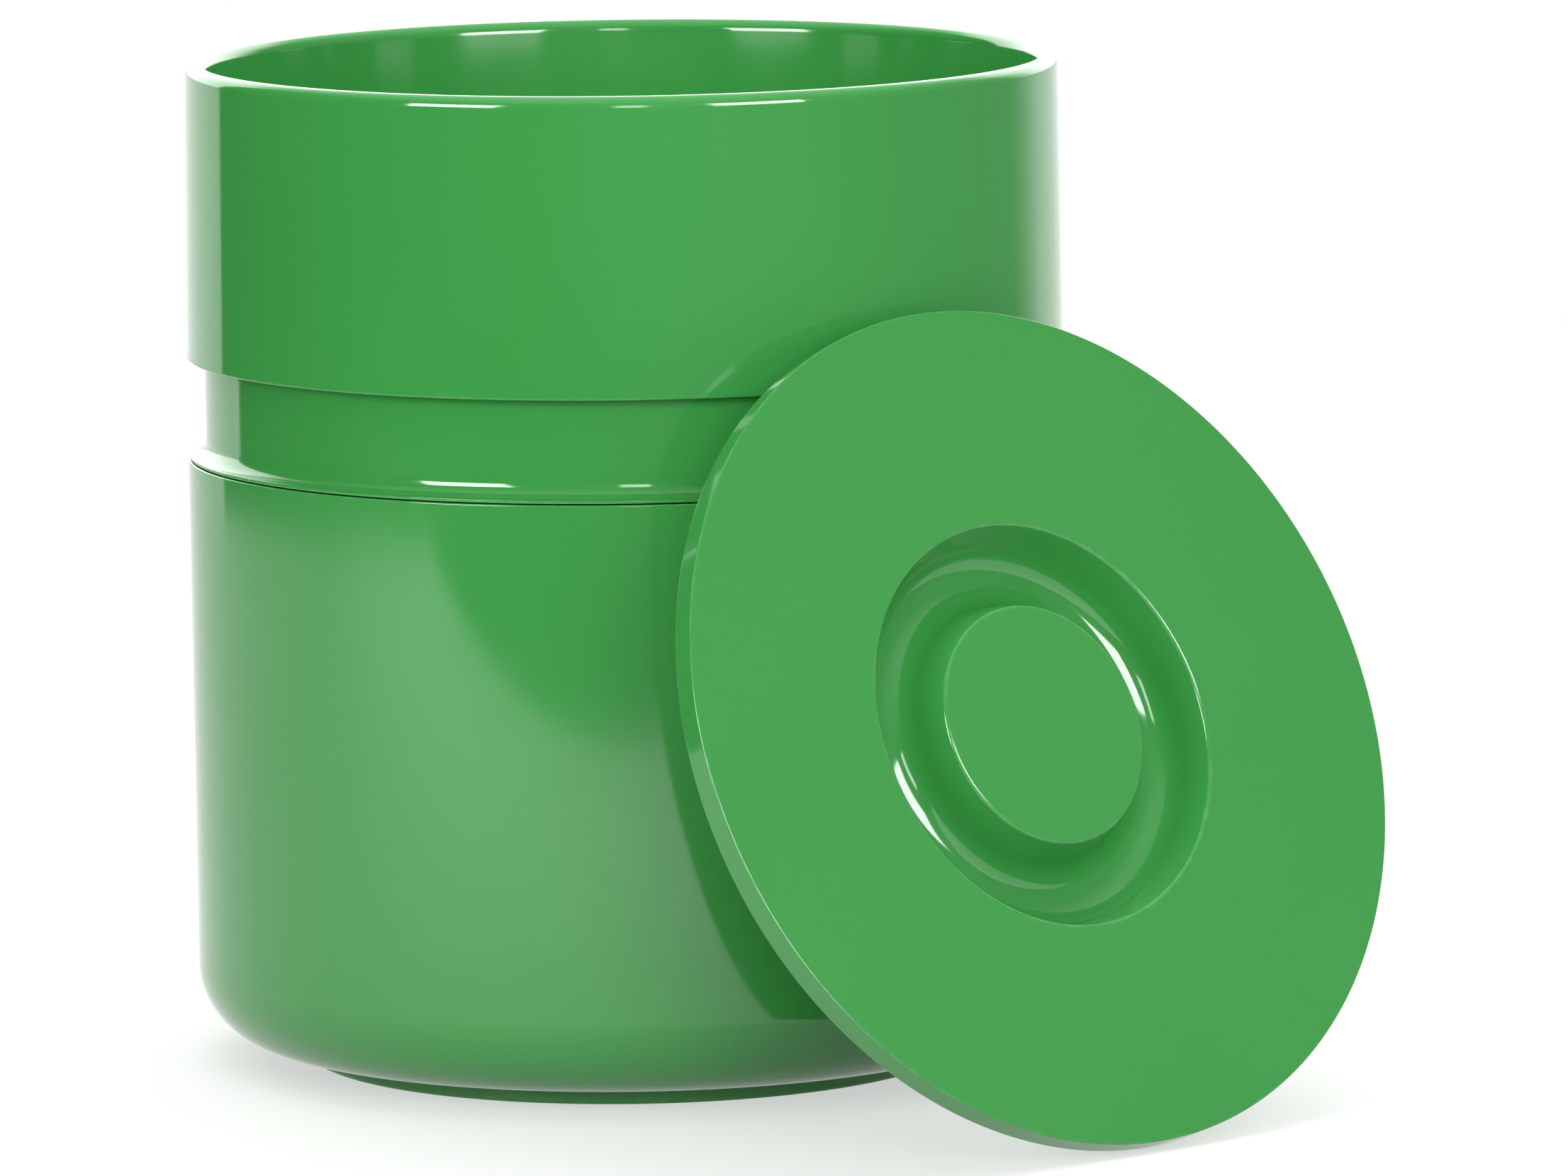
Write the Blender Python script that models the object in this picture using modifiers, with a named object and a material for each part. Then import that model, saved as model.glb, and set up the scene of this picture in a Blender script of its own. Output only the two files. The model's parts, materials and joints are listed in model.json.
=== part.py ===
"""Insulated bucket with a loose lid, which stands beside it and leans on its collar.

Metres, +Z up. The origin is on the bucket's axis, at the middle of its flat base.
"""

import math

import bpy
import numpy as np
from mathutils import Matrix, Vector

MM = 0.001

# Bucket, driving sizes
BUCKET_HEIGHT = 207 * MM
BUCKET_RADIUS = 90.6 * MM  # at the collar's foot and at the shell's top
COLLAR_HEIGHT = 60.6 * MM
COLLAR_DRAFT = math.radians(0.59)  # the collar narrows upwards
COLLAR_WALL = 2.6 * MM
RIM_THICKNESS = 4.7 * MM  # the rolled rim is round
RIM_FLAT = 0.1 * MM  # on the rim's crown
RIM_DEPTH = 14.6 * MM  # from the crown down to the slot between collar and liner

LINER_WALL = 2.0 * MM
LINER_CORNER = 12 * MM

NECK_HEIGHT = 21 * MM  # between the collar's foot and the shell's top
NECK_INSET = 3.7 * MM
NECK_WALL = 2.0 * MM
NECK_OVERLAP = 4 * MM  # how far the neck runs up inside the collar
NECK_SPIGOT = 7 * MM  # how far it runs down inside the shell
LEDGE_EDGE = 0.6 * MM
LEDGE_LAND = 0.2 * MM  # flat between the cove and the ledge's edge

SHELL_DRAFT = math.radians(0.1)
SHELL_WALL = 2.6 * MM
SHELL_CORNER = 16 * MM

BASE_RISE = 4 * MM  # the shell's floor stands this high
BASE_INSET = 6.4 * MM  # of the base disc from the edge of the shell's flat floor
BASE_LAP = 13 * MM  # of the base disc under the shell's floor
BASE_EDGE = 0.8 * MM
PAD_THICKNESS = 6.8 * MM

# Lid, driving sizes
LID_LAP = 1.4 * MM  # of the flange on the rolled rim, when closed
LID_EDGE = 5.2 * MM
LID_WALL = 2.0 * MM
LID_SKIRT = 2.0 * MM
RECESS_RADIUS = 41.6 * MM
RECESS_DEPTH = 12 * MM
KNOB_RADIUS = 24.7 * MM
GROOVE_LEAN = 3.5 * MM  # how far each wall of the recess leans in at the floor
GROOVE_FLAT = 0.2 * MM
GROOVE_LIP = 0.8 * MM
STEP_DEPTH = 2.2 * MM  # of the locating step below the skirt
STEP_LAND = 2.7 * MM
PAN_SLOPE = 19.7 * MM  # width of the pan's sloping ring
PAN_CORNER = 3 * MM
PAN_WALL = 1.8 * MM
RECESS_FOAM = 1.2 * MM  # foam between the recess and the pan

# How the lid leans
LEAN_ANGLE = math.radians(23.05)  # back from upright
LEAN_AZIMUTH = math.radians(39.1)  # from -Y towards +X

# Shared clearances and edges
GAP = 0.3 * MM
EDGE = 0.4 * MM
STEPS = 48
ARC_TOLERANCE = 0.15 * MM  # how far an arc's chords may stray from it

GREEN = (0.065, 0.34, 0.075, 1.0)
FOAM = (0.86, 0.86, 0.82, 1.0)
GLOSS_ROUGHNESS = 0.12
SATIN_ROUGHNESS = 0.3
FOAM_ROUGHNESS = 0.9

# Levels and radii that several pieces share
COLLAR_FOOT = BUCKET_HEIGHT - COLLAR_HEIGHT
RIM_MIDDLE = BUCKET_HEIGHT - RIM_THICKNESS / 2
NECK_TOP = COLLAR_FOOT + NECK_OVERLAP
NECK_RADIUS = BUCKET_RADIUS - NECK_INSET
SHELL_TOP = COLLAR_FOOT - NECK_HEIGHT
SHELL_FLOOR = BASE_RISE + SHELL_WALL
SLEEVE_TOP = SHELL_TOP - NECK_SPIGOT
LINER_FLOOR = SHELL_FLOOR + GAP + PAD_THICKNESS + GAP


def collar_radius(height):
    """Outer radius of the collar at this height."""
    return BUCKET_RADIUS - (height - COLLAR_FOOT) * math.tan(COLLAR_DRAFT)


def liner_radius(height):
    """Inner radius of the liner at this height: it tapers from the rim so as to clear the neck ring's top."""
    at_rim = collar_radius(RIM_MIDDLE) - RIM_THICKNESS
    at_neck = NECK_RADIUS - NECK_WALL - GAP - LINER_WALL
    return at_rim - (at_rim - at_neck) * (RIM_MIDDLE - height) / (RIM_MIDDLE - NECK_TOP)


def shell_radius(height):
    """Outer radius of the lower shell at this height."""
    return BUCKET_RADIUS - (SHELL_TOP - height) * math.tan(SHELL_DRAFT)


FLOOR_RADIUS = shell_radius(BASE_RISE) - SHELL_CORNER  # of the shell's flat floor
BASE_RADIUS = FLOOR_RADIUS - BASE_INSET
SHELL_OPENING = BASE_RADIUS - BASE_LAP
LID_RADIUS = collar_radius(RIM_MIDDLE) - RIM_THICKNESS + LID_LAP
STEP_RADIUS = LID_RADIUS - LID_SKIRT - GAP
STEP_BOTTOM = -LID_EDGE - STEP_DEPTH
PAN_RADIUS = STEP_RADIUS - STEP_LAND - PAN_SLOPE
PAN_BOTTOM = -RECESS_DEPTH - LID_WALL - GAP - RECESS_FOAM - GAP - PAN_WALL


def clear_scene():
    for obj in list(bpy.data.objects):
        bpy.data.objects.remove(obj, do_unlink=True)


def new_collection(name):
    group = bpy.data.collections.new(name)
    bpy.context.scene.collection.children.link(group)
    return group


def plastic(name, colour, roughness):
    material = bpy.data.materials.new(name)
    material.use_nodes = True
    shader = material.node_tree.nodes["Principled BSDF"]
    shader.inputs["Base Color"].default_value = colour
    shader.inputs["Roughness"].default_value = roughness
    shader.inputs["Metallic"].default_value = 0.0
    return material


def rounded(outline):
    """The closed outline (radius, height, fillet) as points, each corner with a fillet turned into an arc."""
    points = []
    count = len(outline)
    for index, (x, z, fillet) in enumerate(outline):
        corner = Vector((x, z))
        if fillet == 0:
            points.append(corner)
            continue
        before = Vector(outline[index - 1][:2]) - corner
        after = Vector(outline[(index + 1) % count][:2]) - corner
        half = before.angle(after) / 2
        start = corner + before.normalized() * fillet / math.tan(half)
        end = corner + after.normalized() * fillet / math.tan(half)
        middle = corner + (before.normalized() + after.normalized()).normalized() * fillet / math.sin(half)
        spoke = start - middle
        sweep = spoke.angle_signed(end - middle)
        chord_angle = 2 * math.acos(1 - ARC_TOLERANCE / fillet)
        chords = max(1, round(abs(sweep) / chord_angle))
        for step in range(chords + 1):
            turn = Matrix.Rotation(-sweep * step / chords, 2)
            points.append(middle + turn @ spoke)
    return points


def turned(name, outline, material, group):
    """A turned piece: the outline swept round Z by a Screw modifier."""
    points = rounded(outline)
    mesh = bpy.data.meshes.new(name)
    edges = [(i, i + 1) for i in range(len(points) - 1)]
    on_axis = points[0].x == 0 and points[-1].x == 0
    if not on_axis:
        edges.append((len(points) - 1, 0))
    mesh.from_pydata([(p.x, 0, p.y) for p in points], edges, [])
    obj = bpy.data.objects.new(name, mesh)
    group.objects.link(obj)
    screw = obj.modifiers.new("turn", "SCREW")
    screw.steps = STEPS
    screw.render_steps = STEPS
    screw.use_merge_vertices = True
    screw.merge_threshold = 0.00001
    screw.use_smooth_shade = True
    mesh.materials.append(material)
    return obj


def make_liner_collar(material, group):
    """Liner, rolled rim and collar in one: the slot between collar and liner is open at the bottom."""
    slot_top = BUCKET_HEIGHT - RIM_DEPTH
    inner_floor = LINER_FLOOR + LINER_WALL
    rim_inside = liner_radius(BUCKET_HEIGHT)
    rim_outside = collar_radius(BUCKET_HEIGHT)
    bead = (rim_outside - rim_inside - RIM_FLAT) / 2
    outline = [
        (0, inner_floor, 0),
        (liner_radius(inner_floor), inner_floor, LINER_CORNER - LINER_WALL),
        (rim_inside, BUCKET_HEIGHT, bead),
        (rim_outside, BUCKET_HEIGHT, bead),
        (BUCKET_RADIUS, COLLAR_FOOT, EDGE),
        (BUCKET_RADIUS - COLLAR_WALL, COLLAR_FOOT, EDGE),
        (collar_radius(slot_top) - COLLAR_WALL, slot_top, 0),
        (liner_radius(slot_top) + LINER_WALL, slot_top, 0),
        (liner_radius(LINER_FLOOR) + LINER_WALL, LINER_FLOOR, LINER_CORNER),
        (0, LINER_FLOOR, 0),
    ]
    return turned("liner_collar", outline, material, group)


def make_neck_ring(material, group):
    ledge = SHELL_TOP + GAP
    cove_foot = ledge + LEDGE_EDGE
    ledge_radius = BUCKET_RADIUS - GAP
    cove = ledge_radius - LEDGE_LAND - NECK_RADIUS
    inner = NECK_RADIUS - NECK_WALL
    spigot_foot = ledge - NECK_SPIGOT
    spigot = shell_radius(spigot_foot) - SHELL_WALL - GAP
    outline = [
        (NECK_RADIUS, NECK_TOP, EDGE),
        (NECK_RADIUS, cove_foot, cove),
        (ledge_radius, cove_foot, 0),
        (ledge_radius, ledge, 0),
        (spigot, ledge, 0),
        (spigot, spigot_foot, EDGE),
        (inner, spigot_foot, EDGE),
        (inner, NECK_TOP, EDGE),
    ]
    return turned("neck_ring", outline, material, group)


def make_lower_shell(material, group):
    outline = [
        (BUCKET_RADIUS, SHELL_TOP, EDGE),
        (shell_radius(BASE_RISE), BASE_RISE, SHELL_CORNER),
        (SHELL_OPENING, BASE_RISE, 0),
        (SHELL_OPENING, SHELL_FLOOR, 0),
        (shell_radius(SHELL_FLOOR) - SHELL_WALL, SHELL_FLOOR, SHELL_CORNER - SHELL_WALL),
        (BUCKET_RADIUS - SHELL_WALL, SHELL_TOP, EDGE),
    ]
    return turned("lower_shell", outline, material, group)


def make_base_disc(material, group):
    """A flange under the shell's floor, with a spigot that closes the opening."""
    flange_top = BASE_RISE - GAP
    outline = [
        (0, SHELL_FLOOR, 0),
        (SHELL_OPENING - GAP, SHELL_FLOOR, EDGE),
        (SHELL_OPENING - GAP, flange_top, 0),
        (BASE_RADIUS, flange_top, EDGE),
        (BASE_RADIUS, 0, BASE_EDGE),
        (0, 0, 0),
    ]
    return turned("base_disc", outline, material, group)


def make_foam_sleeve(material, group):
    """Foam between liner and shell; its lower outer corner follows the shell's rounded corner."""
    outside = SHELL_WALL + GAP
    inside = LINER_WALL + GAP
    corner_top = BASE_RISE + SHELL_CORNER
    corner = SHELL_CORNER - outside
    corner_foot = FLOOR_RADIUS + math.sqrt(corner**2 - (corner_top - LINER_FLOOR) ** 2)
    outline = [
        (shell_radius(SLEEVE_TOP) - outside, SLEEVE_TOP, 0),
        (shell_radius(corner_top) - outside, corner_top, 0),
        (corner_foot, LINER_FLOOR, 0),
        (liner_radius(LINER_FLOOR) + inside, LINER_FLOOR, 0),
        (liner_radius(SLEEVE_TOP) + inside, SLEEVE_TOP, 0),
    ]
    return turned("foam_sleeve", outline, material, group)


def make_foam_pad(material, group):
    foot = SHELL_FLOOR + GAP
    top = foot + PAD_THICKNESS
    outline = [
        (0, top, 0),
        (FLOOR_RADIUS, top, 0),
        (FLOOR_RADIUS, foot, EDGE),
        (0, foot, 0),
    ]
    return turned("foam_pad", outline, material, group)


def bucket_radius(height):
    """How far out the bucket reaches at this height."""
    if height >= COLLAR_FOOT:
        return collar_radius(height)
    if height > SHELL_TOP:
        return NECK_RADIUS
    return shell_radius(height)


def lid_frame():
    """Where the lid stands: its own +Z is the face's normal, its -Y runs down the slope.

    The lower edge of its back is on the ground, and it leans on the bucket: every corner of its back, and
    every edge of the bucket behind it, is at least GAP away.
    """
    tilt_sin = math.sin(LEAN_ANGLE)
    tilt_cos = math.cos(LEAN_ANGLE)
    centre_height = LID_RADIUS * tilt_cos + LID_EDGE * tilt_sin
    back = [
        (PAN_RADIUS, PAN_BOTTOM),
        (STEP_RADIUS - STEP_LAND, STEP_BOTTOM),
        (STEP_RADIUS, STEP_BOTTOM),
        (LID_RADIUS, -LID_EDGE),
    ]
    heights = [centre_height + up * tilt_cos + depth * tilt_sin for up, depth in back]
    stand_off = [up * tilt_sin - depth * tilt_cos for up, depth in back]
    levels = heights + [edge for edge in (SHELL_TOP, COLLAR_FOOT) if heights[0] < edge < heights[-1]]
    reach = GAP + max(bucket_radius(level) + np.interp(level, heights, stand_off) for level in levels)
    place = Vector((reach * math.sin(LEAN_AZIMUTH), -reach * math.cos(LEAN_AZIMUTH), centre_height))
    return (
        Matrix.Translation(place)
        @ Matrix.Rotation(LEAN_AZIMUTH, 4, "Z")
        @ Matrix.Rotation(math.pi / 2 - LEAN_ANGLE, 4, "X")
    )


def make_lid_top(material, group):
    """Flat disc with a skirt, and a ring-shaped finger recess that leaves a knob in the middle."""
    skirt_inner = LID_RADIUS - LID_SKIRT
    floor = -RECESS_DEPTH
    under_wall = KNOB_RADIUS - LID_WALL
    over_wall = RECESS_RADIUS + LID_WALL
    half_floor = (RECESS_RADIUS - KNOB_RADIUS - GROOVE_FLAT) / 2 - GROOVE_LEAN
    bowl = half_floor * math.tan(math.pi / 4 + math.atan2(GROOVE_LEAN, RECESS_DEPTH) / 2)
    bowl = min(bowl, RECESS_DEPTH - GROOVE_LIP - EDGE)
    outline = [
        (0, 0, 0),
        (KNOB_RADIUS, 0, GROOVE_LIP),
        (KNOB_RADIUS + GROOVE_LEAN, floor, bowl),
        (RECESS_RADIUS - GROOVE_LEAN, floor, bowl),
        (RECESS_RADIUS, 0, GROOVE_LIP),
        (LID_RADIUS, 0, EDGE),
        (LID_RADIUS, -LID_EDGE, EDGE),
        (skirt_inner, -LID_EDGE, EDGE),
        (skirt_inner, -LID_WALL, 0),
        (over_wall, -LID_WALL, 0),
        (over_wall - GROOVE_LEAN, floor - LID_WALL, bowl),
        (under_wall + GROOVE_LEAN, floor - LID_WALL, bowl),
        (under_wall, -LID_WALL, 0),
        (0, -LID_WALL, 0),
    ]
    return turned("lid_top", outline, material, group)


def pan_inside(offset):
    """The pan's outline this far inside its outer face, from the middle outwards."""
    slope = math.atan2(STEP_BOTTOM - PAN_BOTTOM, PAN_SLOPE)
    shift = offset * math.tan(slope / 2)
    return [
        (0, PAN_BOTTOM + offset, 0),
        (PAN_RADIUS - shift, PAN_BOTTOM + offset, 0),
        (PAN_RADIUS + PAN_SLOPE - shift, STEP_BOTTOM + offset, 0),
        (STEP_RADIUS - offset, STEP_BOTTOM + offset, 0),
    ]


def make_lid_underside(material, group):
    """A dished pan whose step centres the lid in the bucket's mouth."""
    rim = -LID_WALL - GAP
    outline = pan_inside(PAN_WALL) + [
        (STEP_RADIUS - PAN_WALL, rim, 0),
        (STEP_RADIUS, rim, 0),
        (STEP_RADIUS, STEP_BOTTOM, EDGE),
        (STEP_RADIUS - STEP_LAND, STEP_BOTTOM, 0),
        (PAN_RADIUS, PAN_BOTTOM, PAN_CORNER),
        (0, PAN_BOTTOM, 0),
    ]
    return turned("lid_underside", outline, material, group)


def make_lid_foam(material, group):
    """Foam that fills the lid round the finger recess."""
    offset = PAN_WALL + GAP
    top = -LID_WALL - GAP
    recess_inner = KNOB_RADIUS - LID_WALL - GAP
    recess_outer = RECESS_RADIUS + LID_WALL + GAP
    recess_floor = -RECESS_DEPTH - LID_WALL - GAP
    outline = [
        (0, top, 0),
        (recess_inner, top, 0),
        (recess_inner, recess_floor, 0),
        (recess_outer, recess_floor, 0),
        (recess_outer, top, 0),
        (STEP_RADIUS - offset, top, 0),
        *reversed(pan_inside(offset)),
    ]
    return turned("lid_foam", outline, material, group)


def main():
    clear_scene()
    group = new_collection("insulated_bucket")
    gloss = plastic("moulded green ABS", GREEN, GLOSS_ROUGHNESS)
    satin = plastic("moulded green ABS, base and pan", GREEN, SATIN_ROUGHNESS)
    foam = plastic("expanded polystyrene", FOAM, FOAM_ROUGHNESS)

    make_liner_collar(gloss, group)
    make_neck_ring(gloss, group)
    make_lower_shell(gloss, group)
    make_base_disc(satin, group)
    make_foam_sleeve(foam, group)
    make_foam_pad(foam, group)

    lid = bpy.data.objects.new("lid", None)
    group.objects.link(lid)
    lid.matrix_world = lid_frame()
    for piece in (make_lid_top(gloss, group), make_lid_underside(satin, group), make_lid_foam(foam, group)):
        piece.parent = lid


main()
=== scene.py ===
import json
import math

import bpy
import numpy as np
from mathutils import Matrix, Vector


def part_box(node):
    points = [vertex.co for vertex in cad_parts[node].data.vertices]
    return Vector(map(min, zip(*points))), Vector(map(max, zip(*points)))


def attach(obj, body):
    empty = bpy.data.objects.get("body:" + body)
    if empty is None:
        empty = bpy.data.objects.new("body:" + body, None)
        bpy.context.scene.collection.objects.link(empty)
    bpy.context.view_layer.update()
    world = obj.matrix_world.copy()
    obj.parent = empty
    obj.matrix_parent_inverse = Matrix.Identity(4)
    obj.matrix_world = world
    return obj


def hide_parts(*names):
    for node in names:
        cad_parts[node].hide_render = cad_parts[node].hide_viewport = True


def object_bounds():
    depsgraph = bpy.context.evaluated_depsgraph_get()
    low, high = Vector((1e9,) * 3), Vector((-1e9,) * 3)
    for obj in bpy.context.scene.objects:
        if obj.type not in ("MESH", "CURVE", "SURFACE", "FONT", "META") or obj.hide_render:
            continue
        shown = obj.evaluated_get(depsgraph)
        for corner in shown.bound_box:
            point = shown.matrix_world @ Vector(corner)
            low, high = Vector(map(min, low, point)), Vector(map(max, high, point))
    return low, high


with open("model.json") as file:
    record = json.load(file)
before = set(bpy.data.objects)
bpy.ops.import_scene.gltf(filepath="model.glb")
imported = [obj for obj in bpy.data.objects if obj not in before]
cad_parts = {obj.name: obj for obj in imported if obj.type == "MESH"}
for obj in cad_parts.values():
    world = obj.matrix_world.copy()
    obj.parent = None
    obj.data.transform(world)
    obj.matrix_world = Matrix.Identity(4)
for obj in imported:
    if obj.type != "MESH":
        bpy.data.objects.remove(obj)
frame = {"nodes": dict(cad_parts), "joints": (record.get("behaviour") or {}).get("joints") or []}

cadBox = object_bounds()     # the CAD model's box, before anything is added
mm = 0.001


def hexColour(text):     # sRGB hex to linear red, green, blue, alpha
    shares = np.array([int(text[i:i + 2], 16) for i in (1, 3, 5)]) / 255
    linear = np.where(shares <= 0.04045, shares / 12.92, ((shares + 0.055) / 1.055) ** 2.4)
    return (*linear.tolist(), 1.0)


def addNode(tree, kind, settings=None, links=None):
    # settings hold the node's own options and its sockets' values, links the sockets that feed it
    node = tree.nodes.new(kind)
    for key, value in (settings or {}).items():
        if isinstance(key, str) and hasattr(node, key):
            setattr(node, key, value)
        else:
            node.inputs[key].default_value = value
    for key, source in (links or {}).items():
        tree.links.new(source, node.inputs[key])
    return node


def newMaterial(name):
    material = bpy.data.materials.new(name)
    material.use_nodes = True
    material.node_tree.nodes.clear()
    return material, material.node_tree


# Camera: a long lens a little above the rim's level, turned so that bucket and lid share the frame
cameraSettings = {
    "place": (0.0, -2.4064, 0.4251),
    "pan": 0.766,        # degrees, from +Y towards +X
    "tilt": 7.788,       # degrees, downwards
    "roll": -0.715,      # degrees
    "lens": 268.97,
    "sensor": 36.0,
}


def makeCamera(s):
    # forward, right and up are worked out from pan and tilt, then right and up are turned by the roll
    pan, tilt, roll = (math.radians(s[key]) for key in ("pan", "tilt", "roll"))
    forward = Vector((math.sin(pan) * math.cos(tilt), math.cos(pan) * math.cos(tilt), -math.sin(tilt)))
    level = Vector((math.cos(pan), -math.sin(pan), 0))
    upright = level.cross(forward)
    right = math.cos(roll) * level + math.sin(roll) * upright
    up = math.cos(roll) * upright - math.sin(roll) * level
    data = bpy.data.cameras.new("camera")
    data.lens = s["lens"]
    data.sensor_width = s["sensor"]
    data.clip_end = 100
    camera = bpy.data.objects.new("camera", data)
    turn = Matrix((right, up, -forward)).transposed().to_4x4()
    camera.matrix_world = Matrix.Translation(s["place"]) @ turn
    bpy.context.scene.collection.objects.link(camera)
    bpy.context.scene.camera = camera


makeCamera(cameraSettings)
print("camera done")


# Turned surfaces

def roundedOutline(corners, support=0.25, stepAngle=5.0, stepLength=0.04, fewest=4, wornBelow=1.5):
    # Each corner (r, z, fillet) becomes an arc that touches both of its sides, with a step for each
    # stepAngle degrees, or fewer where the steps would be shorter than stepLength. A straight side gets a
    # point close to each of its ends, so that it shades flat up to the arc. Returns the points and their
    # edge share, which is 1 on arcs under wornBelow, where a moulded edge wears first. Lengths are in mm.
    corners = np.array(corners, float)
    spots, fillets = corners[:, :2], corners[:, 2]
    count = len(corners)
    points, edges = [], []
    for i in range(count):
        corner, fillet = spots[i], fillets[i]
        before = spots[i - 1] - corner
        after = spots[(i + 1) % count] - corner
        before /= np.linalg.norm(before)
        after /= np.linalg.norm(after)
        if fillet == 0:
            arc = corner[None]
        else:
            half = math.acos(np.clip(before @ after, -1, 1)) / 2
            start = corner + before * fillet / math.tan(half)
            middle = corner + (before + after) / np.linalg.norm(before + after) * fillet / math.sin(half)
            spoke = start - middle
            sweep = (math.pi - 2 * half) * np.sign(before[1] * after[0] - before[0] * after[1])
            byAngle = math.ceil(abs(math.degrees(sweep)) / stepAngle)
            steps = max(fewest, min(byAngle, int(abs(sweep) * fillet / stepLength)))
            turn = np.linspace(0, sweep, steps + 1)
            arc = middle + np.stack([spoke[0] * np.cos(turn) - spoke[1] * np.sin(turn),
                                     spoke[0] * np.sin(turn) + spoke[1] * np.cos(turn)], axis=1)
        points.append(arc)
        edges.append(np.full(len(arc), 1.0 if 0 < fillet < wornBelow else 0.0))
    closedRound = spots[0, 0] > 0 or spots[-1, 0] > 0
    full, share = [], []
    for i in range(count):
        full.append(points[i])
        share.append(edges[i])
        if i == count - 1 and not closedRound:
            break
        start, end = points[i][-1], points[(i + 1) % count][0]
        length = np.linalg.norm(end - start)
        if length > 3 * support:
            near = support / length
            full.append(start + (end - start) * np.array([[near], [1 - near]]))
            share.append(np.zeros(2))
    full, share = np.concatenate(full), np.concatenate(share)
    nearest = 1e-4           # closer than this, two points are one
    keep = np.linalg.norm(full - np.roll(full, 1, axis=0), axis=1) > nearest
    keep[0] = True
    return full[keep], share[keep]


def turnedPiece(name, corners, material, place=Matrix(), segments=256):
    # The outline is carried round the axis: (r, z) at the angle t goes to (r cos t, r sin t, z).
    # Where the outline starts or ends on the axis, its ring is one point and the faces there are triangles.
    points, share = roundedOutline(corners)
    angle = np.arange(segments) * 2 * math.pi / segments
    onAxis = points[:, 0] == 0
    ringed = points[~onAxis] * mm
    rings = np.stack([ringed[:, :1] * np.cos(angle), ringed[:, :1] * np.sin(angle),
                      np.broadcast_to(ringed[:, 1:], (len(ringed), segments))], axis=2).reshape(-1, 3)
    poles = np.zeros((onAxis.sum(), 3))
    poles[:, 2] = points[onAxis, 1] * mm
    coords = np.concatenate([rings, poles])
    wear = np.concatenate([np.repeat(share[~onAxis], segments), np.zeros(len(poles))])
    joined = len(ringed) - 1 if len(poles) else len(ringed)      # an outline off the axis closes on itself
    rows = np.arange(joined)[:, None]
    here = np.arange(segments)[None]
    nextRow, nextSpot = (rows + 1) % len(ringed), (here + 1) % segments
    quads = np.stack([rows * segments + here, nextRow * segments + here,
                      nextRow * segments + nextSpot, rows * segments + nextSpot], axis=2).reshape(-1, 4)
    faces = quads.tolist()
    if len(poles):
        first, last = len(rings), len(rings) + 1
        start = np.stack([np.full(segments, first), here[0], nextSpot[0]], axis=1)
        tail = (len(ringed) - 1) * segments
        end = np.stack([np.full(segments, last), tail + nextSpot[0], tail + here[0]], axis=1)
        faces += start.tolist() + end.tolist()
    mesh = bpy.data.meshes.new(name)
    mesh.from_pydata(coords.tolist(), [], faces)
    mesh.transform(place)
    mesh.update()
    layer = mesh.attributes.new("edgeShare", "FLOAT", "POINT")
    layer.data.foreach_set("value", wear.astype(np.float32))
    mesh.shade_smooth()
    mesh.materials.append(material)
    piece = bpy.data.objects.new(name, mesh)
    bpy.context.scene.collection.objects.link(piece)
    return piece


def measure(node):       # lowest and highest level and the outer radius of an upright turned node, in mm
    low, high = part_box(node)
    return low[2] / mm, high[2] / mm, (high[0] - low[0]) / 2 / mm


# Moulded gloss ABS: injected against a polished tool, so it mirrors softly, with slow waves from uneven
# shrinkage and a very fine ripple; scuffs gather on the sharp edges. Sizes and heights are in mm.
glossSettings = {
    "colour": "#3fa14a", "paler": "#46a650", "scuff": "#86bd84",
    "patch": 55.0, "wave": 42.0, "waveHeight": 0.02, "ripple": 2.4, "rippleHeight": 0.0006,
    "roughness": 0.085, "roughnessSwing": 0.035,
    "wearGrain": 3.0, "wearFrom": 0.45, "wearTo": 0.7, "wearShare": 0.18, "wearRoughness": 0.9,
}
# The same ABS from a less polished side of the tool: satin, with a spark-eroded grain. The real grain is
# about 0.1 mm and would not show, so it is drawn coarser.
satinSettings = dict(glossSettings, roughness=0.3, roughnessSwing=0.06, ripple=0.9, rippleHeight=0.006)


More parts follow.
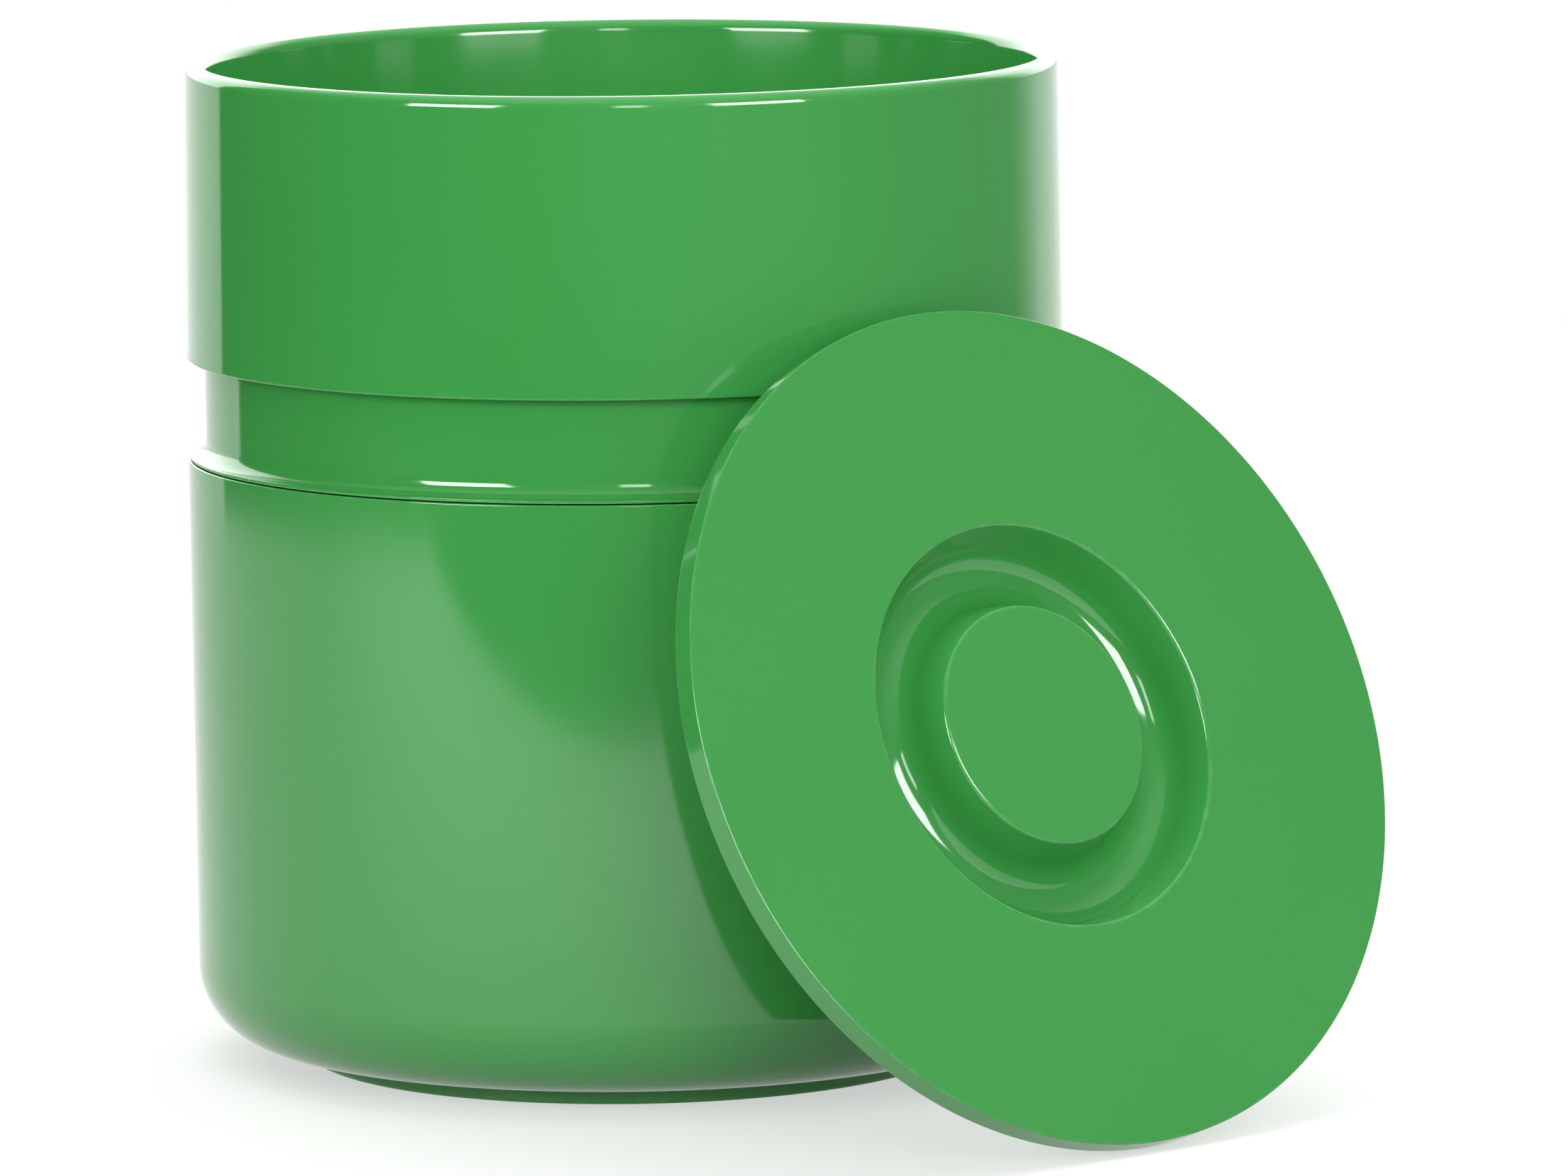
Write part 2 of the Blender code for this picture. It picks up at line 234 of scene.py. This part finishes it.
def mouldedAbs(name, s):
    material, tree = newMaterial(name)
    where = addNode(tree, "ShaderNodeTexCoord").outputs["Object"]

    def noise(size, detail=2.0):
        return addNode(tree, "ShaderNodeTexNoise", {"Scale": 1 / (size * mm), "Detail": detail},
                       {"Vector": where}).outputs["Fac"]

    tints = {"data_type": "RGBA", 6: hexColour(s["colour"]), 7: hexColour(s["paler"])}
    tint = addNode(tree, "ShaderNodeMix", tints, {0: noise(s["patch"])}).outputs[2]
    worn = {"From Min": s["wearFrom"], "From Max": s["wearTo"], "To Max": s["wearShare"]}
    grain = addNode(tree, "ShaderNodeMapRange", worn,
                    {"Value": noise(s["wearGrain"], detail=4.0)}).outputs[0]
    edge = addNode(tree, "ShaderNodeAttribute", {"attribute_name": "edgeShare"}).outputs["Fac"]
    wear = addNode(tree, "ShaderNodeMath", {"operation": "MULTIPLY"}, {0: grain, 1: edge}).outputs[0]
    colour = addNode(tree, "ShaderNodeMix", {"data_type": "RGBA", 7: hexColour(s["scuff"])},
                     {0: wear, 6: tint}).outputs[2]
    low, high = s["roughness"] - s["roughnessSwing"] / 2, s["roughness"] + s["roughnessSwing"] / 2
    span = {"From Min": 0.3, "From Max": 0.7, "To Min": low, "To Max": high}     # where most of a noise lies
    smooth = addNode(tree, "ShaderNodeMapRange", span,
                     {"Value": noise(s["patch"] / 3, detail=3.0)}).outputs[0]
    rough = addNode(tree, "ShaderNodeMath", {"operation": "MULTIPLY_ADD", 1: s["wearRoughness"]},
                    {0: wear, 2: smooth}).outputs[0]
    waves = addNode(tree, "ShaderNodeBump", {"Strength": 1.0, "Distance": s["waveHeight"] * mm},
                    {"Height": noise(s["wave"], detail=0.0)}).outputs[0]
    ripple = addNode(tree, "ShaderNodeBump", {"Strength": 1.0, "Distance": s["rippleHeight"] * mm},
                     {"Height": noise(s["ripple"], detail=1.0), "Normal": waves}).outputs[0]
    shader = addNode(tree, "ShaderNodeBsdfPrincipled", {"IOR": 1.54, "Metallic": 0.0},
                     {"Base Color": colour, "Roughness": rough, "Normal": ripple})
    addNode(tree, "ShaderNodeOutputMaterial", links={"Surface": shader.outputs[0]})
    return material


# Expanded polystyrene: beads fused in a mould, so it is white and matt with a cell pattern. Beads and heights
# are in mm, and the seam is a share of a bead.
foamSettings = {
    "colour": "#f1f1ea", "shade": "#d9d9cf", "bead": 3.2, "seam": 0.12, "height": 0.12, "roughness": 0.85,
}


def beadFoam(name, s):
    material, tree = newMaterial(name)
    where = addNode(tree, "ShaderNodeTexCoord").outputs["Object"]
    beads = {"feature": "DISTANCE_TO_EDGE", "Scale": 1 / (s["bead"] * mm)}
    cells = addNode(tree, "ShaderNodeTexVoronoi", beads, {"Vector": where}).outputs["Distance"]
    seam = addNode(tree, "ShaderNodeMapRange", {"From Max": s["seam"]}, {"Value": cells}).outputs[0]
    tints = {"data_type": "RGBA", 6: hexColour(s["shade"]), 7: hexColour(s["colour"])}
    colour = addNode(tree, "ShaderNodeMix", tints, {0: seam}).outputs[2]
    bump = addNode(tree, "ShaderNodeBump", {"Distance": s["height"] * mm}, {"Height": seam}).outputs[0]
    shader = addNode(tree, "ShaderNodeBsdfPrincipled", {"Roughness": s["roughness"], "IOR": 1.5},
                     {"Base Color": colour, "Normal": bump})
    addNode(tree, "ShaderNodeOutputMaterial", links={"Surface": shader.outputs[0]})
    return material


gloss = mouldedAbs("moulded gloss ABS", glossSettings)
satin = mouldedAbs("moulded satin ABS", satinSettings)
foam = beadFoam("expanded polystyrene", foamSettings)
print("materials done")


# Bucket, in mm and degrees: levels and outer radii come from the frame, and an edge is a small fillet
bondGap = 0.3            # between pieces that are bonded together
linerCollarShape = {
    "collarHeight": 60.6, "collarDraft": 0.6, "collarWall": 2.6,     # draft: how much it narrows to the rim
    "rimThickness": 4.7, "rimDepth": 14.6,                           # the rim is solid down to rimDepth
    "linerWall": 2.0, "linerTaper": 2.85, "linerCorner": 12.0, "edge": 0.35,
}


def linerCollarOutline(s):
    low, top, radius = measure("liner_collar")
    foot = top - s["collarHeight"]
    slot = top - s["rimDepth"]
    floor = low + s["linerWall"]
    middle = top - s["rimThickness"] / 2
    slope = s["collarDraft"] / (middle - foot)
    taper = math.tan(math.radians(s["linerTaper"]))

    def outer(z):
        return radius - (z - foot) * slope

    def inner(z):
        return outer(middle) - s["rimThickness"] - (middle - z) * taper

    bead = (outer(top) - inner(top)) / 2 * 0.999     # just under half, so that the two arcs don't overlap
    return [
        (0, floor, 0),
        (inner(floor), floor, s["linerCorner"] - s["linerWall"]),
        (inner(top), top, bead),
        (outer(top), top, bead),
        (radius, foot, s["edge"]),
        (radius - s["collarWall"], foot, s["edge"]),
        (outer(slot) - s["collarWall"], slot, 0),
        (inner(slot) + s["linerWall"], slot, 0),
        (inner(low) + s["linerWall"], low, s["linerCorner"]),
        (0, low, 0),
    ]


neckRingShape = {
    "neckRadius": 86.9, "wall": 2.0, "edge": 0.35, "coveLand": 0.2,  # land: the flat left beside the cove
    "ledgeEdge": 0.6, "ledgeCorner": 0.1, "spigotDepth": 7.0, "spigotInset": 2.6,
}


def neckRingOutline(s):
    low, top, radius = measure("neck_ring")
    ledge = low + s["spigotDepth"]
    coveFoot = ledge + s["ledgeEdge"]
    inside = s["neckRadius"] - s["wall"]
    spigot = radius - s["spigotInset"]
    return [
        (s["neckRadius"], top, s["edge"]),
        (s["neckRadius"], coveFoot, radius - s["neckRadius"] - s["coveLand"]),
        (radius, coveFoot, s["ledgeCorner"]),
        (radius, ledge, s["ledgeCorner"]),
        (spigot, ledge, 0),
        (spigot, low, s["edge"]),
        (inside, low, s["edge"]),
        (inside, top, s["edge"]),
    ]


lowerShellShape = {
    "wall": 2.6, "taper": 0.1, "corner": 16.0, "lip": 0.3, "edge": 0.35,
    "opening": 55.0, "openingEdge": 0.2,        # round hole in the bottom, which the base disc closes
}


def lowerShellOutline(s):
    low, top, radius = measure("lower_shell")
    foot = radius - (top - low) * math.tan(math.radians(s["taper"]))
    return [
        (radius, top, s["lip"]),
        (foot, low, s["corner"]),
        (s["opening"], low, s["openingEdge"]),
        (s["opening"], low + s["wall"], s["openingEdge"]),
        (foot - s["wall"], low + s["wall"], s["corner"] - s["wall"]),
        (radius - s["wall"], top, s["edge"]),
    ]


baseDiscShape = {
    "plugRadius": lowerShellShape["opening"] - bondGap, "plugHeight": lowerShellShape["wall"] + bondGap,
    "plugCorner": 0.15, "edge": 0.35, "footEdge": 0.8,
}


def baseDiscOutline(s):
    # a plug that fills the shell's hole, on a wider flange under it
    low, top, radius = measure("base_disc")
    flange = top - s["plugHeight"]
    return [
        (0, top, 0),
        (s["plugRadius"], top, s["edge"]),
        (s["plugRadius"], flange, s["plugCorner"]),
        (radius, flange, s["edge"]),
        (radius, low, s["footEdge"]),
        (0, low, 0),
    ]


def addPiece(name, node, body, outline, material, place=Matrix()):
    piece = turnedPiece(name, outline, material, place)
    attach(piece, body)
    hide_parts(node)


addPiece("linerCollar", "liner_collar", "bucket", linerCollarOutline(linerCollarShape), gloss)
addPiece("neckRing", "neck_ring", "bucket", neckRingOutline(neckRingShape), gloss)
addPiece("lowerShell", "lower_shell", "bucket", lowerShellOutline(lowerShellShape), gloss)
addPiece("baseDisc", "base_disc", "bucket", baseDiscOutline(baseDiscShape), satin)
print("bucket done")


# Lid, in mm, drawn with its face at level 0 and then moved to where the frame has it

def spread(node, axes):  # the node's lowest and highest coordinate along each axis
    mesh = frame["nodes"][node].data
    coords = np.empty(len(mesh.vertices) * 3, np.float32)
    mesh.vertices.foreach_get("co", coords)
    along = coords.reshape(-1, 3).astype(float) @ axes.T
    return along.min(axis=0), along.max(axis=0)


def lidPlace():
    # The lid's own axis is its joint's. The middle of the face comes from the node's extent along the three
    # directions of the lid: two in its plane and one out of it.
    normal = Vector(frame["joints"][0]["axis"]).normalized()
    across = Vector((0, 0, 1)).cross(normal).normalized()
    upslope = normal.cross(across)
    axes = np.array([across, upslope, normal])
    low, high = spread("lid_top", axes)
    centre = np.array([(low[0] + high[0]) / 2, (low[1] + high[1]) / 2, high[2]]) @ axes
    turn = Matrix(axes.tolist()).transposed().to_4x4()
    sizes = {
        "radius": (high[0] - low[0]) / 2 / mm,
        "recessFloor": (low[2] - high[2]) / mm,
        "panFloor": (spread("lid_underside", axes)[0][2] - high[2]) / mm,
    }
    return Matrix.Translation(centre.tolist()) @ turn, sizes


lidTopShape = {
    "edge": 0.3, "depth": 5.2, "wall": 2.0, "skirt": 2.0,
    "recessRadius": 41.6, "knobRadius": 24.7, "grooveLean": 3.5, "grooveFlat": 0.2, "lip": 0.8,
    # shallow dimple over the gate: a flat middle, then a wide arc down and a wider one up to the face
    "gateRadius": 4.2, "gateFlat": 1.4, "gateDepth": 0.13, "gateFloorArc": 25.2, "gateRimArc": 50.4,
}


def lidTopOutline(s, sizes):
    # the lowest level of the node is the underside of the groove
    radius, wall, lean = sizes["radius"], s["wall"], s["grooveLean"]
    floor = sizes["recessFloor"] + wall
    skirt = radius - s["skirt"]
    halfFloor = (s["recessRadius"] - s["knobRadius"] - s["grooveFlat"]) / 2 - lean
    bowl = halfFloor * math.tan(math.pi / 4 + math.atan2(lean, -floor) / 2)
    under, over = s["knobRadius"] - wall, s["recessRadius"] + wall
    return [
        (0, -s["gateDepth"], 0),
        (s["gateFlat"], -s["gateDepth"], s["gateFloorArc"]),
        (s["gateRadius"], 0, s["gateRimArc"]),
        (s["knobRadius"], 0, s["lip"]),
        (s["knobRadius"] + lean, floor, bowl),
        (s["recessRadius"] - lean, floor, bowl),
        (s["recessRadius"], 0, s["lip"]),
        (radius, 0, s["edge"]),
        (radius, -s["depth"], s["edge"]),
        (skirt, -s["depth"], s["edge"]),
        (skirt, -wall, 0),
        (over, -wall, 0),
        (over - lean, floor - wall, bowl),
        (under + lean, floor - wall, bowl),
        (under, -wall, 0),
        (0, -wall, 0),
    ]


lidUndersideShape = {
    "inset": lidTopShape["skirt"] + bondGap, "rim": -lidTopShape["wall"] - bondGap,
    "skirtDepth": lidTopShape["depth"], "stepDepth": 2.2,            # the step centres the lid in the mouth
    "stepLand": 2.7, "stepCorner": 0.3,
    "slope": 19.7, "wall": 1.8, "corner": 3.0, "insideCorner": 0.8, "edge": 0.3, "rimEdge": 0.2,
}


def lidUndersideOutline(s, sizes):
    outer = sizes["radius"] - s["inset"]
    step = -s["skirtDepth"] - s["stepDepth"]
    floor, wall, rim = sizes["panFloor"], s["wall"], s["rim"]
    pan = outer - s["stepLand"] - s["slope"]
    shift = wall * math.tan(math.atan2(step - floor, s["slope"]) / 2)
    return [
        (0, floor + wall, 0),
        (pan - shift, floor + wall, s["insideCorner"]),
        (outer - s["stepLand"] - shift, step + wall, s["stepCorner"]),
        (outer - wall, step + wall, s["rimEdge"]),
        (outer - wall, rim, s["rimEdge"]),
        (outer, rim, s["rimEdge"]),
        (outer, step, s["edge"]),
        (outer - s["stepLand"], step, s["stepCorner"]),
        (pan, floor, s["corner"]),
        (0, floor, 0),
    ]


lidMatrix, lidSizes = lidPlace()
lidTopLine = lidTopOutline(lidTopShape, lidSizes)
undersideLine = lidUndersideOutline(lidUndersideShape, lidSizes)
addPiece("lidTop", "lid_top", "lid", lidTopLine, gloss, lidMatrix)
addPiece("lidUnderside", "lid_underside", "lid", undersideLine, satin, lidMatrix)

for node in ("foam_sleeve", "foam_pad", "lid_foam"):
    mesh = frame["nodes"][node].data
    mesh.materials.clear()
    mesh.materials.append(foam)
print("lid done")


# Studio: a softly lit white sheet under the object, a bright sweep with a hotter band behind it, a dim room
# in front and five softboxes

# white, hot, left, right and ceiling are brightness and the sweep's ends are azimuths in degrees. The others
# say how far upwards, or to the right, a direction points, from -1 to 1.
roomSettings = {
    "white": 1.3, "hot": 3.4, "hotLow": 0.09, "hotHigh": 0.5, "hotFade": 0.12,
    "left": 0.02, "right": 0.36, "leftEnd": -0.5, "rightEnd": 0.4,
    "ceiling": 0.95, "ceilingFrom": 0.55, "ceilingTo": 0.95,
    "sweepLeft": -131.8, "sweepRight": (124.0, 141.0),
}


def makeRoom(s):
    # The world: its brightness depends on the azimuth, bright on the sweep's side and dim elsewhere, and
    # rises towards the ceiling. The camera sees plain white behind the object.
    world = bpy.data.worlds.new("studio")
    bpy.context.scene.world = world
    world.use_nodes = True
    tree = world.node_tree
    tree.nodes.clear()
    direction = addNode(tree, "ShaderNodeTexCoord").outputs["Generated"]
    parts = addNode(tree, "ShaderNodeSeparateXYZ", links={0: direction}).outputs
    forward = addNode(tree, "ShaderNodeMath", {"operation": "MULTIPLY", 1: -1.0}, {0: parts["Y"]}).outputs[0]
    azimuth = addNode(tree, "ShaderNodeMath", {"operation": "ARCTAN2"},
                      {0: parts["X"], 1: forward}).outputs[0]
    left = addNode(tree, "ShaderNodeMath", {"operation": "LESS_THAN", 1: math.radians(s["sweepLeft"])},
                   {0: azimuth}).outputs[0]
    start, full = (math.radians(turn) for turn in s["sweepRight"])
    right = addNode(tree, "ShaderNodeMapRange", {"From Min": start, "From Max": full},
                    {"Value": azimuth}).outputs[0]
    sweep = addNode(tree, "ShaderNodeMath", {"operation": "MAXIMUM"}, {0: left, 1: right}).outputs[0]
    across = addNode(tree, "ShaderNodeMapRange",
                     {"interpolation_type": "SMOOTHSTEP", "From Min": s["leftEnd"], "From Max": s["rightEnd"],
                      "To Min": s["left"], "To Max": s["right"]}, {"Value": parts["X"]}).outputs[0]
    upward = addNode(tree, "ShaderNodeMapRange",
                     {"interpolation_type": "SMOOTHSTEP", "From Min": s["ceilingFrom"],
                      "From Max": s["ceilingTo"]}, {"Value": parts["Z"]}).outputs[0]
    room = addNode(tree, "ShaderNodeMix", {"data_type": "FLOAT", 3: s["ceiling"]},
                   {0: upward, 2: across}).outputs[0]
    rise = addNode(tree, "ShaderNodeMapRange",
                   {"interpolation_type": "SMOOTHSTEP", "From Min": 0.0, "From Max": s["hotLow"],
                    "To Min": s["white"], "To Max": s["hot"]}, {"Value": parts["Z"]}).outputs[0]
    above = {"interpolation_type": "SMOOTHSTEP", "From Min": s["hotHigh"],
             "From Max": s["hotHigh"] + s["hotFade"]}
    fall = addNode(tree, "ShaderNodeMapRange", above, {"Value": parts["Z"]}).outputs[0]
    paper = addNode(tree, "ShaderNodeMix", {"data_type": "FLOAT", 3: s["white"]},
                    {0: fall, 2: rise}).outputs[0]
    level = addNode(tree, "ShaderNodeMix", {"data_type": "FLOAT"}, {0: sweep, 2: room, 3: paper}).outputs[0]
    seen = addNode(tree, "ShaderNodeLightPath").outputs["Is Camera Ray"]
    strength = addNode(tree, "ShaderNodeMix", {"data_type": "FLOAT", 3: 1.0}, {0: seen, 2: level}).outputs[0]
    background = addNode(tree, "ShaderNodeBackground", {"Color": (1, 1, 1, 1)}, {"Strength": strength})
    addNode(tree, "ShaderNodeOutputWorld", links={"Surface": background.outputs[0]})


# The sheet, in metres and degrees; its shine is what the gloss mirrors of it
floorSettings = {
    "sheet": "#b4b4b2", "paler": "#b7b7b5", "fibre": 0.03, "seen": 0.56,
    "shineFront": 1.35, "shineBack": 0.6, "shineFrom": -0.45, "shineTo": -0.05,
    "reach": 0.95, "frontReach": 0.6, "farReach": 1.3, "frontLeft": -50.0, "frontRight": 75.0,
    "sweepLeft": roomSettings["sweepLeft"], "sweepRight": roomSettings["sweepRight"][1],
    "drop": 0.0002, "spokes": 720,
}


def sheetReach(azimuth, s):
    # How far the white sheet goes at each azimuth from -Y: to a straight front edge before the object,
    # round at the sides, and all the way back where the sweep is
    degrees = np.degrees(azimuth)
    front = s["frontReach"] / np.maximum(np.cos(azimuth), 0.05)      # kept finite at the sides
    inFront = (degrees > s["frontLeft"]) & (degrees < s["frontRight"])
    reach = np.where(inFront, np.minimum(front, s["reach"]), s["reach"])
    behind = (degrees < s["sweepLeft"]) | (degrees > s["sweepRight"])
    return np.where(behind, s["farReach"] * 0.999, reach)            # a hair short of the far edge


def ringSheet(name, inner, outer, azimuth, level, material):
    # Two outlines (distance by azimuth) joined by quads; an inner outline of None is the middle point

    def loop(reach):
        return np.stack([reach * np.sin(azimuth), -reach * np.cos(azimuth), np.full(len(azimuth), level)],
                        axis=1)

    count = len(azimuth)
    here = np.arange(count)
    following = (here + 1) % count
    if inner is None:
        coords = np.concatenate([loop(outer), [[0, 0, level]]])
        faces = np.stack([np.full(count, count), here, following], axis=1)
    else:
        coords = np.concatenate([loop(outer), loop(inner)])
        faces = np.stack([here + count, here, following, following + count], axis=1)
    mesh = bpy.data.meshes.new(name)
    mesh.from_pydata(coords.tolist(), [], faces.tolist())
    mesh.materials.append(material)
    sheet = bpy.data.objects.new(name, mesh)
    bpy.context.scene.collection.objects.link(sheet)
    return sheet


def makeFloor(s):
    material, tree = newMaterial("matt white paper")     # uncoated paper: plain, with no gloss
    where = addNode(tree, "ShaderNodeTexCoord").outputs["Object"]
    fibre = addNode(tree, "ShaderNodeTexNoise", {"Scale": 1 / s["fibre"], "Detail": 2.0}, {"Vector": where})
    tints = {"data_type": "RGBA", 6: hexColour(s["sheet"]), 7: hexColour(s["paler"])}
    colour = addNode(tree, "ShaderNodeMix", tints, {0: fibre.outputs["Fac"]}).outputs[2]
    diffuse = addNode(tree, "ShaderNodeBsdfDiffuse", links={"Color": colour})
    # the sheet's own glow: one level to the eye, and in the gloss brightest in front of the object
    along = addNode(tree, "ShaderNodeSeparateXYZ", links={0: where}).outputs["Y"]
    shine = addNode(tree, "ShaderNodeMapRange",
                    {"interpolation_type": "SMOOTHSTEP", "From Min": s["shineFrom"], "From Max": s["shineTo"],
                     "To Min": s["shineFront"], "To Max": s["shineBack"]}, {"Value": along}).outputs[0]
    path = addNode(tree, "ShaderNodeLightPath").outputs
    mirrored = addNode(tree, "ShaderNodeMath", {"operation": "MULTIPLY"},
                       {0: path["Is Glossy Ray"], 1: shine}).outputs[0]
    strength = addNode(tree, "ShaderNodeMath", {"operation": "MULTIPLY_ADD", 1: s["seen"]},
                       {0: path["Is Camera Ray"], 2: mirrored}).outputs[0]
    glow = addNode(tree, "ShaderNodeEmission", {"Color": (1, 1, 1, 1)}, {"Strength": strength})
    shader = addNode(tree, "ShaderNodeAddShader", links={0: diffuse.outputs[0], 1: glow.outputs[0]})
    addNode(tree, "ShaderNodeOutputMaterial", links={"Surface": shader.outputs[0]})
    azimuth = np.linspace(-math.pi, math.pi, s["spokes"], endpoint=False)
    near, edge = sheetReach(azimuth, s), np.full(s["spokes"], s["farReach"])
    level = -s["drop"]       # a hair below the base, so that the two faces don't share a plane
    ringSheet("sheet", None, near, azimuth, level, material)
    far = ringSheet("sheetFar", near, edge, azimuth, level, material)
    far.visible_glossy = False       # past the sheet the gloss mirrors the dim room


# Each softbox is up to two lights: "soft" is the power that lights matt surfaces, "shine" the radiance that
# gloss mirrors. The second is a little nearer, because at the same distance the first one hides it.
shineNearer = 0.02
softboxes = {
    "softboxFront": {"azimuth": 5.0, "elevation": 20.0, "distance": 1.6, "size": (1.0, 0.6), "soft": 9.2},
    "softboxLeft": {"azimuth": -46.0, "elevation": 16.5, "distance": 1.5, "size": (0.62, 0.58), "soft": 5.8,
                    "shine": 18.0},
    "softboxRight": {"azimuth": 35.0, "elevation": 16.5, "distance": 1.5, "size": (0.64, 0.58), "soft": 1.8,
                     "shine": 18.0},
    "softboxMiddle": {"azimuth": 1.0, "elevation": 16.5, "distance": 1.5, "size": (0.2, 0.5), "shine": 9.0},
    "softboxTop": {"azimuth": 180.0, "elevation": 80.0, "distance": 1.6, "size": (1.2, 1.2), "soft": 6.0},
}


def makeSoftbox(name, s, target):
    turn, rise = math.radians(s["azimuth"]), math.radians(s["elevation"])
    back = Vector((math.sin(turn) * math.cos(rise), -math.cos(turn) * math.cos(rise), math.sin(rise)))
    facing = back.to_track_quat("Z", "Y").to_matrix().to_4x4()
    # an area light's radiance is its power / (pi x area)
    shinePower = s.get("shine", 0) * math.pi * s["size"][0] * s["size"][1]
    for suffix, power, nearer in (("Soft", s.get("soft", 0), 0.0), ("Shine", shinePower, shineNearer)):
        if power == 0:
            continue
        data = bpy.data.lights.new(name + suffix, "AREA")
        data.shape = "RECTANGLE"
        data.size, data.size_y = s["size"]
        data.energy = power
        light = bpy.data.objects.new(name + suffix, data)
        light.matrix_world = Matrix.Translation(target + back * (s["distance"] - nearer)) @ facing
        light.visible_camera = False
        light.visible_glossy = suffix == "Shine"
        light.visible_diffuse = suffix == "Soft"
        bpy.context.scene.collection.objects.link(light)


makeFloor(floorSettings)
makeRoom(roomSettings)
middleOfAll = (cadBox[0] + cadBox[1]) / 2
for lightName, settings in softboxes.items():
    makeSoftbox(lightName, settings, middleOfAll)
bpy.context.scene.view_settings.view_transform = "Standard"
print("studio done")
